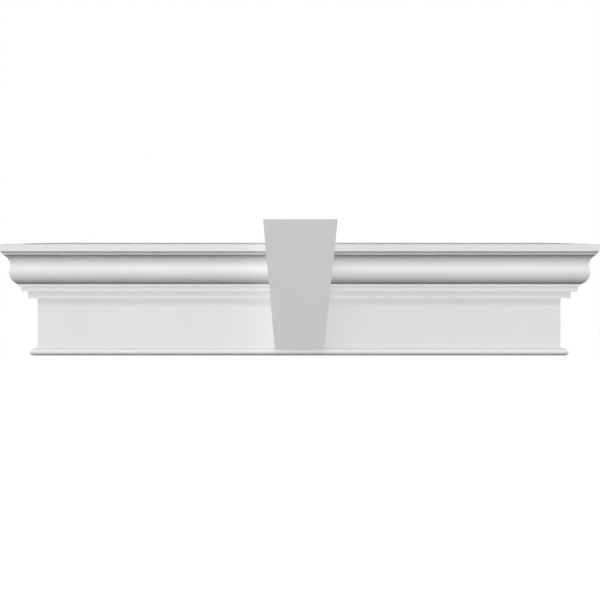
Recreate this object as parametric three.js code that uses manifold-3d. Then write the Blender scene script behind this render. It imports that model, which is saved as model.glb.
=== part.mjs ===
// Crosshead moulding with a keystone, made to be fixed flat on a wall over a door or window.
// Millimetres. X runs along the wall, Y points into the wall and Z points up.
// The origin is the middle of the header's flat back, on the face of the wall.

import * as THREE from 'three';
import { mergeVertices, toCreasedNormals } from 'three/addons/utils/BufferGeometryUtils.js';
import Module from 'manifold-3d';

const wasm = await Module();
wasm.setup();

// Frieze: the plain panel of the header, from whose face every projection is measured
const friezeLength = 1081.7;
const friezeThickness = 22;
const friezeHeight = 103.5;

// Bead along the bottom, with a half-round nose
const beadHeight = 14;
const beadProjection = 13.6;

// Two flat steps over the frieze, and the fillet that carries the curved members
const lowerStepHeight = 14.5;
const lowerStepProjection = 17.1;
const upperStepHeight = 10.2;
const upperStepProjection = 28.2;
const filletHeight = 4.9;
const filletProjection = 33.2;

// Cyma reversa: an ovolo that starts proud of the fillet, and a cove tangent to it
const ovoloQuirk = 1.6;
const ovoloRadius = 27.5;
const coveRadius = 24.3;
const cymaLean = 16;
const cymaEndTilt = 61.5;

// Cap: a narrow fillet, a bevel, the fascia and a top that falls towards the front
const capFilletHeight = 1.6;
const capBevelHeight = 4.9;
const capBevelProjection = 4.2;
const fasciaHeight = 14;
const topSlope = 4;

// Keystone: a wedge scribed over the header, with its face leaning out towards the top
const keystoneTopWidth = 147;
const keystoneFootWidth = 100.6;
const keystoneRise = 41.3;
const keystoneStand = 41;
const keystoneRake = 19;
const keystoneClearance = 0.3;

// Finish, and the steps in which round members are cut
const primedWhite = '#f1f1ef';
const facetAngle = 3;
const creaseAngle = 15;

const rad = THREE.MathUtils.degToRad;

// An outline's points are (distance from the wall, height), anticlockwise seen from the right end
const point = (out, up) => new THREE.Vector2(out, up);

// Points of an arc; angles are in degrees from straight out, positive upwards
function arc(centre, radius, from, to) {
  const steps = Math.ceil(Math.abs(to - from) / facetAngle);
  const points = [];
  for (let i = 0; i <= steps; i += 1) {
    const angle = rad(from + ((to - from) * i) / steps);
    points.push(point(centre.x + radius * Math.cos(angle), centre.y + radius * Math.sin(angle)));
  }
  return points;
}

// The point that lies one radius from another, at an angle
function alongRadius(start, radius, angle) {
  return point(start.x + radius * Math.cos(rad(angle)), start.y + radius * Math.sin(rad(angle)));
}

// Two face points of a flat member, from its lower to its upper edge
function flat(projection, bottom, height) {
  const out = friezeThickness + projection;
  return [point(out, bottom), point(out, bottom + height)];
}

// Half-round nose of the bead
function beadPoints(bottom) {
  const radius = beadHeight / 2;
  const out = friezeThickness + beadProjection - radius;
  return arc(point(out, bottom + radius), radius, -90, 90);
}

// Ovolo and cove, which share the point where the line of their centres crosses them
function cymaPoints(bottom) {
  const foot = point(friezeThickness + filletProjection + ovoloQuirk, bottom);
  const ovoloCentre = alongRadius(foot, -ovoloRadius, -cymaEndTilt);
  const coveCentre = alongRadius(ovoloCentre, ovoloRadius + coveRadius, cymaLean);
  const ovolo = arc(ovoloCentre, ovoloRadius, -cymaEndTilt, cymaLean);
  const cove = arc(coveCentre, coveRadius, 180 + cymaLean, 180 - cymaEndTilt);
  return [...ovolo, ...cove.slice(1)];
}

// Cap from the cove's upper edge to the sloping top's edge on the wall
function capPoints(coveEdge) {
  const bevelFoot = point(coveEdge.x, coveEdge.y + capFilletHeight);
  const fasciaFoot = point(bevelFoot.x + capBevelProjection, bevelFoot.y + capBevelHeight);
  const fasciaTop = point(fasciaFoot.x, fasciaFoot.y + fasciaHeight);
  const wallEdge = point(0, fasciaTop.y + fasciaTop.x * Math.tan(rad(topSlope)));
  return [bevelFoot, fasciaFoot, fasciaTop, wallEdge];
}

// Header section, with heights measured from its underside
const friezeTop = beadHeight + friezeHeight;
const lowerStepTop = friezeTop + lowerStepHeight;
const upperStepTop = lowerStepTop + upperStepHeight;
const frieze = flat(0, beadHeight, friezeHeight);
const lowerStep = flat(lowerStepProjection, friezeTop, lowerStepHeight);
const upperStep = flat(upperStepProjection, lowerStepTop, upperStepHeight);
const fillet = flat(filletProjection, upperStepTop, filletHeight);
const cyma = cymaPoints(upperStepTop + filletHeight);
const cap = capPoints(cyma.at(-1));
const headerSection = [point(0, 0), ...beadPoints(0), ...frieze, ...lowerStep, ...upperStep,
  ...fillet, ...cyma, ...cap];

const headerTop = cap.at(-1).y;
const capEdge = cap.at(-2);
const headerBottom = -headerTop / 2;

// Moves every edge of an outline outwards by the same distance
function grown(outline, distance) {
  return outline.map((corner, i) => {
    const before = outline.at(i - 1);
    const after = outline[(i + 1) % outline.length];
    const incoming = corner.clone().sub(before).normalize();
    const outgoing = after.clone().sub(corner).normalize();
    const sum = point(incoming.y + outgoing.y, -incoming.x - outgoing.x);
    return corner.clone().addScaledVector(sum, distance / (1 + incoming.dot(outgoing)));
  });
}

// Straight bar with a section in the YZ plane, centred on the middle of the header
function barAlongX(section, length) {
  const bar = new THREE.ExtrudeGeometry(new THREE.Shape(section), { depth: length, bevelEnabled: false });
  bar.translate(0, headerBottom, -length / 2);
  return bar.applyMatrix4(new THREE.Matrix4().makeBasis(
    new THREE.Vector3(0, -1, 0), new THREE.Vector3(0, 0, 1), new THREE.Vector3(-1, 0, 0)));
}

// Plate with an outline in the XZ plane, reaching from the wall to the given depth
function plateFromWall(outline, depth) {
  const plate = new THREE.ExtrudeGeometry(new THREE.Shape(outline), { depth, bevelEnabled: false });
  plate.translate(0, headerBottom, 0);
  return plate.rotateX(Math.PI / 2);
}

// Closed mesh to solid, and solid back to a mesh with sharp arrises and smooth curves
function toSolid(geometry) {
  geometry.deleteAttribute('normal');
  geometry.deleteAttribute('uv');
  const merged = mergeVertices(geometry);
  return new wasm.Manifold(new wasm.Mesh({
    numProp: 3,
    vertProperties: merged.attributes.position.array,
    triVerts: Uint32Array.from(merged.index.array),
  }));
}

function toMesh(name, solid) {
  const mesh = solid.getMesh();
  const geometry = new THREE.BufferGeometry();
  geometry.setAttribute('position', new THREE.BufferAttribute(mesh.vertProperties, 3));
  geometry.setIndex(new THREE.BufferAttribute(mesh.triVerts, 1));
  const material = new THREE.MeshStandardMaterial({ color: primedWhite, roughness: 0.55, metalness: 0 });
  const piece = new THREE.Mesh(toCreasedNormals(geometry, rad(creaseAngle)), material);
  piece.name = name;
  return piece;
}

// Header: the section seen from the end, and the same section returned round both ends.
// Where the two overlap, the corners are mitred and the top is hipped.
function header() {
  const returnStart = friezeLength / 2 - friezeThickness;
  const rightEnd = headerSection.map((p) => point(returnStart + p.x, p.y));
  const leftEnd = rightEnd.map((p) => point(-p.x, p.y)).reverse();
  const elevation = plateFromWall([...rightEnd, ...leftEnd], capEdge.x);
  const run = barAlongX(headerSection, friezeLength + 2 * capEdge.x);
  return toSolid(run).intersect(toSolid(elevation));
}

// Keystone: its front outline and its side outline together, less the header it is scribed to
function keystone() {
  const foot = beadHeight + keystoneClearance;
  const head = headerTop + keystoneRise;
  const faceAt = (height) => capEdge.x + keystoneStand + (height - capEdge.y) * Math.tan(rad(keystoneRake));

  const front = plateFromWall([
    point(-keystoneFootWidth / 2, foot), point(keystoneFootWidth / 2, foot),
    point(keystoneTopWidth / 2, head), point(-keystoneTopWidth / 2, head)], faceAt(head));
  const side = barAlongX([
    point(0, foot), point(faceAt(foot), foot), point(faceAt(head), head), point(0, head)], friezeLength);
  const notchSection = [point(0, 0), point(friezeThickness, 0), frieze[1], ...lowerStep, ...upperStep,
    ...fillet, ...cyma, ...cap];
  const notch = barAlongX(grown(notchSection, keystoneClearance), friezeLength);
  return toSolid(front).intersect(toSolid(side)).subtract(toSolid(notch));
}

const crosshead = new THREE.Group();
crosshead.add(toMesh('header', header()));
crosshead.add(toMesh('keystone', keystone()));

export default crosshead;
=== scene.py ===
"""Crosshead moulding with a keystone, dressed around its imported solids. Metres, +Z up."""

import math

import bmesh
import bpy
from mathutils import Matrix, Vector

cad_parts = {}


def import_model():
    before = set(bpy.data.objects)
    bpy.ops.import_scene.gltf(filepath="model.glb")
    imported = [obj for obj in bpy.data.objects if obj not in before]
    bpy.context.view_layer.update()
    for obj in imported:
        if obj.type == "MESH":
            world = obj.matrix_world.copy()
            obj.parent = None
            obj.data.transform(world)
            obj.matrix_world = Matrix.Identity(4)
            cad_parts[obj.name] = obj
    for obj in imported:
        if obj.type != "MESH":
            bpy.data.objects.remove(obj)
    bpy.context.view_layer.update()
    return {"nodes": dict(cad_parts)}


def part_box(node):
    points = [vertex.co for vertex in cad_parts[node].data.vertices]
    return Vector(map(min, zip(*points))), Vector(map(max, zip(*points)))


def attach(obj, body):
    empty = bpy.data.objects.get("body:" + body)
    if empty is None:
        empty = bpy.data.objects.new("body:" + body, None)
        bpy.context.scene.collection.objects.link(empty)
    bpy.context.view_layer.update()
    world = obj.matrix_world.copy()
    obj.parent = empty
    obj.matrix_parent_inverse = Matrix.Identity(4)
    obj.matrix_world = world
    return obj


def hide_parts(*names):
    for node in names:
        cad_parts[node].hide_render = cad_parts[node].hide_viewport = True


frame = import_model()

# Form: the small rounds that moulding and primer leave on the arrises, the share of an edge that
# a round may take, and the angles and gap that count as a corner, a crease, flat and touching
MM = 0.001
ARRIS_ROUND = 0.2 * MM
CORNER_ROUND = 0.3 * MM
ROUND_SHARE = 0.45
ROUND_STEPS = 5
SHARP_TURN = math.radians(20)
CREASE = math.radians(35)
FLAT = math.radians(0.5)
TOUCH = 0.01 * MM

# Primer: two linear colours and the lowest and highest roughness, with the size of the patches of
# each, the gloss level, and the size and depth of the swell and of the orange peel
PRIMER_DARK = (0.853, 0.853, 0.852)
PRIMER_LIGHT = (0.867, 0.867, 0.866)
PRIMER_CLOUD = 140 * MM
PRIMER_ROUGHNESS = (0.56, 0.64)
PRIMER_MIST = 9 * MM
PRIMER_GLOSS = 0.5
SWELL_SIZE = 60 * MM
SWELL_DEPTH = 0.06 * MM
PEEL_SIZE = 1.4 * MM
PEEL_DEPTH = 0.012 * MM

# Planed back: colours, roughness and patches as above, cutter marks and how many times longer than
# wide they are, and pores with the two distances between which their pattern rises
BACK_DARK = (0.80, 0.79, 0.77)
BACK_LIGHT = (0.84, 0.83, 0.81)
BACK_CLOUD = 45 * MM
BACK_ROUGHNESS = (0.68, 0.82)
BACK_MIST = 6 * MM
MARK_SIZE = 2.5 * MM
MARK_DEPTH = 0.05 * MM
MARK_STRETCH = 50
PORE_SPACING = 5 * MM
PORE_DEPTH = 0.3 * MM
PORE_EDGE = (0.06, 0.16)

# Camera: level, square to the wall, a little left of the middle and above it
PHOTO_SIZE = 600
FOCAL_PIXELS = 1227.7
PRINCIPAL_PIXEL = (273.5, 287.0)
SENSOR_WIDTH = 36.0
CAMERA_PLACE = (-0.053, -2.562, 0.0244)

# Stage
FLOOR_DROP = 0.9
FLOOR_SIZE = 30.0
FLOOR_COLOUR = (0.9, 0.9, 0.9, 1)
FLOOR_GLOW = 1.05
WHITE = (1, 1, 1, 1)
AMBIENT = 0.01
LAMP_DISTANCE = 12.0


def header_section():
    """The header's face in section, read on its right-hand mitre from the underside to the wall.

    Points are (distance from the wall, height)."""
    low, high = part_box("header")
    return_start = high.x + low.y
    on_mitre = {
        (round(-v.co.y, 6), round(v.co.z, 6))
        for v in frame["nodes"]["header"].data.vertices
        if abs(v.co.x - return_start + v.co.y) < TOUCH
    }
    lowest = min(on_mitre, key=lambda p: (p[1], -p[0]))
    ordered = [lowest]
    rest = on_mitre - {lowest}
    while rest:
        # upwards, and along a level ledge to the nearest point
        last = ordered[-1]
        nearest = min(rest, key=lambda p: (round(p[1], 5), abs(p[0] - last[0])))
        ordered.append(nearest)
        rest.remove(nearest)
    return [Vector(p) for p in ordered]


def eased(outline, radius):
    """The outline with a small round in place of every sharp corner."""
    points = [outline[0]]
    for before, corner, after in zip(outline, outline[1:], outline[2:]):
        incoming, outgoing = corner - before, after - corner
        turn = abs(incoming.angle_signed(outgoing))
        if turn < SHARP_TURN:
            points.append(corner)
            continue
        room = ROUND_SHARE * min(incoming.length, outgoing.length)
        reach = min(radius * math.tan(turn / 2), room)
        start = corner - incoming.normalized() * reach
        end = corner + outgoing.normalized() * reach
        for step in range(ROUND_STEPS + 1):
            t = step / ROUND_STEPS
            points.append((1 - t) ** 2 * start + 2 * t * (1 - t) * corner + t * t * end)
    points.append(outline[-1])
    return points


def plan_line(out, return_start):
    """The header's right end in plan, one distance out: from the wall to just past the corner."""
    radius = min(CORNER_ROUND, out)
    centre = Vector((return_start + out - radius, radius - out))
    line = [Vector((return_start + out, 0.0))]
    for step in range(ROUND_STEPS + 1):
        angle = -math.pi / 2 * step / ROUND_STEPS
        line.append(centre + radius * Vector((math.cos(angle), math.sin(angle))))
    return line


def new_piece(name, shape, node):
    """A finished mesh as a piece that stands for a CAD node."""
    bmesh.ops.recalc_face_normals(shape, faces=shape.faces)
    mesh = bpy.data.meshes.new(name)
    shape.to_mesh(mesh)
    shape.free()
    mesh.shade_smooth()
    mesh.set_sharp_from_angle(angle=CREASE)
    piece = bpy.data.objects.new(name, mesh)
    bpy.context.scene.collection.objects.link(piece)
    normals = piece.modifiers.new("flat faces stay flat", "WEIGHTED_NORMAL")
    normals.keep_sharp = True
    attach(piece, "root")
    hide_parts(node)
    return piece


def header():
    """The long member: its section swept along the front and returned to the wall at both ends."""
    low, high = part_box("header")
    return_start = high.x + low.y
    shape = bmesh.new()
    rows = []
    for out, height in eased(header_section(), ARRIS_ROUND):
        right = plan_line(out, return_start)
        left = [Vector((-p.x, p.y)) for p in reversed(right)]
        rows.append([shape.verts.new((p.x, p.y, height)) for p in right + left])
    for lower, upper in zip(rows, rows[1:]):
        for i in range(len(lower) - 1):
            shape.faces.new((lower[i], lower[i + 1], upper[i + 1], upper[i]))
    shape.faces.new(rows[0])
    shape.faces.new([row[0] for row in rows] + [row[-1] for row in reversed(rows)])
    bmesh.ops.remove_doubles(shape, verts=shape.verts, dist=TOUCH)
    bmesh.ops.dissolve_degenerate(shape, edges=shape.edges, dist=TOUCH)
    return new_piece("header_moulding", shape, "header")


def keystone():
    """The wedge over the middle: the CAD shape with the arrises of its face rounded."""
    shape = bmesh.new()
    shape.from_mesh(frame["nodes"]["keystone"].data)
    bmesh.ops.remove_doubles(shape, verts=shape.verts, dist=TOUCH)
    bmesh.ops.dissolve_limit(shape, angle_limit=FLAT, verts=shape.verts, edges=shape.edges)
    shape.normal_update()
    # the raked face looks most to the front, and its corners also start the receding arrises
    face = min(shape.faces, key=lambda f: f.normal.y)
    arrises = list({edge for corner in face.verts for edge in corner.link_edges})
    bmesh.ops.bevel(
        shape,
        geom=arrises,
        offset=ARRIS_ROUND,
        segments=ROUND_STEPS,
        profile=0.5,
        affect="EDGES",
        clamp_overlap=True,
    )
    return new_piece("keystone_block", shape, "keystone")


def noise(nodes, links, place, size, detail=2.0):
    """Noise whose features are about as large as the given size."""
    texture = nodes.new("ShaderNodeTexNoise")
    texture.inputs["Scale"].default_value = 1 / size
    texture.inputs["Detail"].default_value = detail
    links.new(place, texture.inputs["Vector"])
    return texture.outputs["Fac"]


def spread(nodes, links, value, low, high, start=0.3, end=0.7):
    """A value between start and end, where noise mostly lies, spread over another range."""
    span = nodes.new("ShaderNodeMapRange")
    span.inputs["From Min"].default_value = start
    span.inputs["From Max"].default_value = end
    span.inputs["To Min"].default_value = low
    span.inputs["To Max"].default_value = high
    links.new(value, span.inputs["Value"])
    return span.outputs["Result"]


def tinted(nodes, links, value, dark, light):
    """A colour between two, by a value from 0 to 1."""
    mix = nodes.new("ShaderNodeMix")
    mix.data_type = "RGBA"
    # sockets 6 and 7 of this node take its colours, and 2 gives the mixed one
    mix.inputs[6].default_value = (*dark, 1)
    mix.inputs[7].default_value = (*light, 1)
    links.new(value, mix.inputs[0])
    return mix.outputs[2]


def raised(nodes, links, height, depth, over=None):
    """Relief of the given depth, on top of an earlier relief if there is one."""
    bump = nodes.new("ShaderNodeBump")
    bump.inputs["Distance"].default_value = depth
    links.new(height, bump.inputs["Height"])
    if over is not None:
        links.new(over, bump.inputs["Normal"])
    return bump.outputs["Normal"]


def new_material(name):
    """A material with its nodes and links, the place on the object and the shader."""
    material = bpy.data.materials.new(name)
    material.use_nodes = True
    nodes, links = material.node_tree.nodes, material.node_tree.links
    place = nodes.new("ShaderNodeTexCoord").outputs["Object"]
    return material, nodes, links, place, nodes["Principled BSDF"]


def primed_white():
    """Factory primer: sprayed thin over moulded foam, even in tone, with a slight orange peel."""
    material, nodes, links, place, shader = new_material("primed_white")
    shader.inputs["Specular IOR Level"].default_value = PRIMER_GLOSS

    cloud = spread(nodes, links, noise(nodes, links, place, PRIMER_CLOUD), 0, 1)
    links.new(tinted(nodes, links, cloud, PRIMER_DARK, PRIMER_LIGHT), shader.inputs["Base Color"])
    mist = noise(nodes, links, place, PRIMER_MIST, detail=4)
    links.new(spread(nodes, links, mist, *PRIMER_ROUGHNESS), shader.inputs["Roughness"])

    swell = raised(nodes, links, noise(nodes, links, place, SWELL_SIZE), SWELL_DEPTH)
    peel = raised(nodes, links, noise(nodes, links, place, PEEL_SIZE), PEEL_DEPTH, over=swell)
    links.new(peel, shader.inputs["Normal"])
    return material


def planed_back():
    """The flat back, planed after moulding: duller, with open pores and faint cutter marks."""
    material, nodes, links, place, shader = new_material("planed_back")
    cloud = spread(nodes, links, noise(nodes, links, place, BACK_CLOUD, detail=5), 0, 1)
    links.new(tinted(nodes, links, cloud, BACK_DARK, BACK_LIGHT), shader.inputs["Base Color"])
    mist = noise(nodes, links, place, BACK_MIST, detail=4)
    links.new(spread(nodes, links, mist, *BACK_ROUGHNESS), shader.inputs["Roughness"])

    stretch = nodes.new("ShaderNodeMapping")
    stretch.inputs["Scale"].default_value = (1 / MARK_STRETCH, 1, 1)
    links.new(place, stretch.inputs["Vector"])
    grooves = noise(nodes, links, stretch.outputs["Vector"], MARK_SIZE)
    marks = raised(nodes, links, grooves, MARK_DEPTH)
    pores = nodes.new("ShaderNodeTexVoronoi")
    pores.inputs["Scale"].default_value = 1 / PORE_SPACING
    links.new(place, pores.inputs["Vector"])
    hollow = spread(nodes, links, pores.outputs["Distance"], 0, 1, *PORE_EDGE)
    links.new(raised(nodes, links, hollow, PORE_DEPTH, over=marks), shader.inputs["Normal"])
    return material


def camera():
    """The photo's view: its frame is shifted, because its middle isn't the camera's axis."""
    lens = bpy.data.cameras.new("photo")
    lens.sensor_width = SENSOR_WIDTH
    lens.lens = FOCAL_PIXELS / PHOTO_SIZE * SENSOR_WIDTH
    lens.shift_x = (PHOTO_SIZE / 2 - PRINCIPAL_PIXEL[0]) / PHOTO_SIZE
    lens.shift_y = (PRINCIPAL_PIXEL[1] - PHOTO_SIZE / 2) / PHOTO_SIZE
    eye = bpy.data.objects.new("photo", lens)
    eye.location = CAMERA_PLACE
    eye.rotation_euler = (math.pi / 2, 0, 0)
    bpy.context.scene.collection.objects.link(eye)
    bpy.context.scene.camera = eye


def lamp(name, azimuth, elevation, width, height, power, fill=False):
    """A soft box that faces the header: place and size as seen from there in degrees, and watts.

    A fill casts no shadow and lights by its first bounce only."""
    light = bpy.data.lights.new(name, "AREA")
    light.shape = "RECTANGLE"
    light.size = 2 * LAMP_DISTANCE * math.tan(math.radians(width / 2))
    light.size_y = 2 * LAMP_DISTANCE * math.tan(math.radians(height / 2))
    light.energy = power
    if fill:
        light.use_shadow = False
        light.cycles.max_bounces = 0
        light.cycles.use_multiple_importance_sampling = False
    turn, lift = math.radians(azimuth), math.radians(elevation)
    away = Vector((math.sin(turn) * math.cos(lift), -math.cos(turn) * math.cos(lift), math.sin(lift)))
    box = bpy.data.objects.new(name, light)
    box.location = LAMP_DISTANCE * away
    box.rotation_euler = away.to_track_quat("Z", "Y").to_euler()
    box.visible_camera = False
    bpy.context.scene.collection.objects.link(box)


def lights():
    """A wide soft box above the camera, one beyond each end, one behind, and fills for the ledges."""
    lamp("above", -14, 37, 70, 16, 296)
    lamp("far_left", -85, 5, 20, 20, 524)
    lamp("far_right", 100, 5, 20, 20, 560)
    lamp("behind", 180, 0, 60, 10, 1100)
    lamp("front_fill", 0, 10, 60, 8, 555, fill=True)
    lamp("middle_fill", 0, 30, 60, 8, 411, fill=True)
    lamp("high_fill", 0, 42, 60, 10, 368, fill=True)


def world():
    """White behind the object as the camera sees it, and a dim even light on everything."""
    surroundings = bpy.data.worlds.new("studio")
    surroundings.use_nodes = True
    nodes, links = surroundings.node_tree.nodes, surroundings.node_tree.links
    nodes.clear()
    seen = nodes.new("ShaderNodeBackground")
    seen.inputs["Color"].default_value = WHITE
    lit = nodes.new("ShaderNodeBackground")
    lit.inputs["Color"].default_value = WHITE
    lit.inputs["Strength"].default_value = AMBIENT
    path = nodes.new("ShaderNodeLightPath")
    mix = nodes.new("ShaderNodeMixShader")
    output = nodes.new("ShaderNodeOutputWorld")
    links.new(path.outputs["Is Camera Ray"], mix.inputs["Fac"])
    links.new(lit.outputs[0], mix.inputs[1])
    links.new(seen.outputs[0], mix.inputs[2])
    links.new(mix.outputs[0], output.inputs["Surface"])
    bpy.context.scene.world = surroundings


def floor():
    """A pale floor that glows as white as its surroundings and sends no light to the object."""
    mesh = bpy.data.meshes.new("floor")
    half = FLOOR_SIZE / 2
    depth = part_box("header")[0].z - FLOOR_DROP
    corners = [(-half, -half, depth), (half, -half, depth), (half, half, depth), (-half, half, depth)]
    mesh.from_pydata(corners, [], [(0, 1, 2, 3)])
    plane = bpy.data.objects.new("floor", mesh)
    bpy.context.scene.collection.objects.link(plane)
    material = bpy.data.materials.new("pale_floor")
    material.use_nodes = True
    shader = material.node_tree.nodes["Principled BSDF"]
    shader.inputs["Base Color"].default_value = FLOOR_COLOUR
    shader.inputs["Emission Color"].default_value = WHITE
    shader.inputs["Emission Strength"].default_value = FLOOR_GLOW
    mesh.materials.append(material)
    plane.visible_diffuse = False
    plane.visible_glossy = False


camera()
world()
floor()
lights()

primer, bare = primed_white(), planed_back()
for piece in (header(), keystone()):
    piece.data.materials.append(primer)
    piece.data.materials.append(bare)
    for face in piece.data.polygons:
        on_wall = all(abs(piece.data.vertices[i].co.y) < TOUCH for i in face.vertices)
        face.material_index = int(on_wall)

bpy.context.scene.view_settings.view_transform = "Standard"
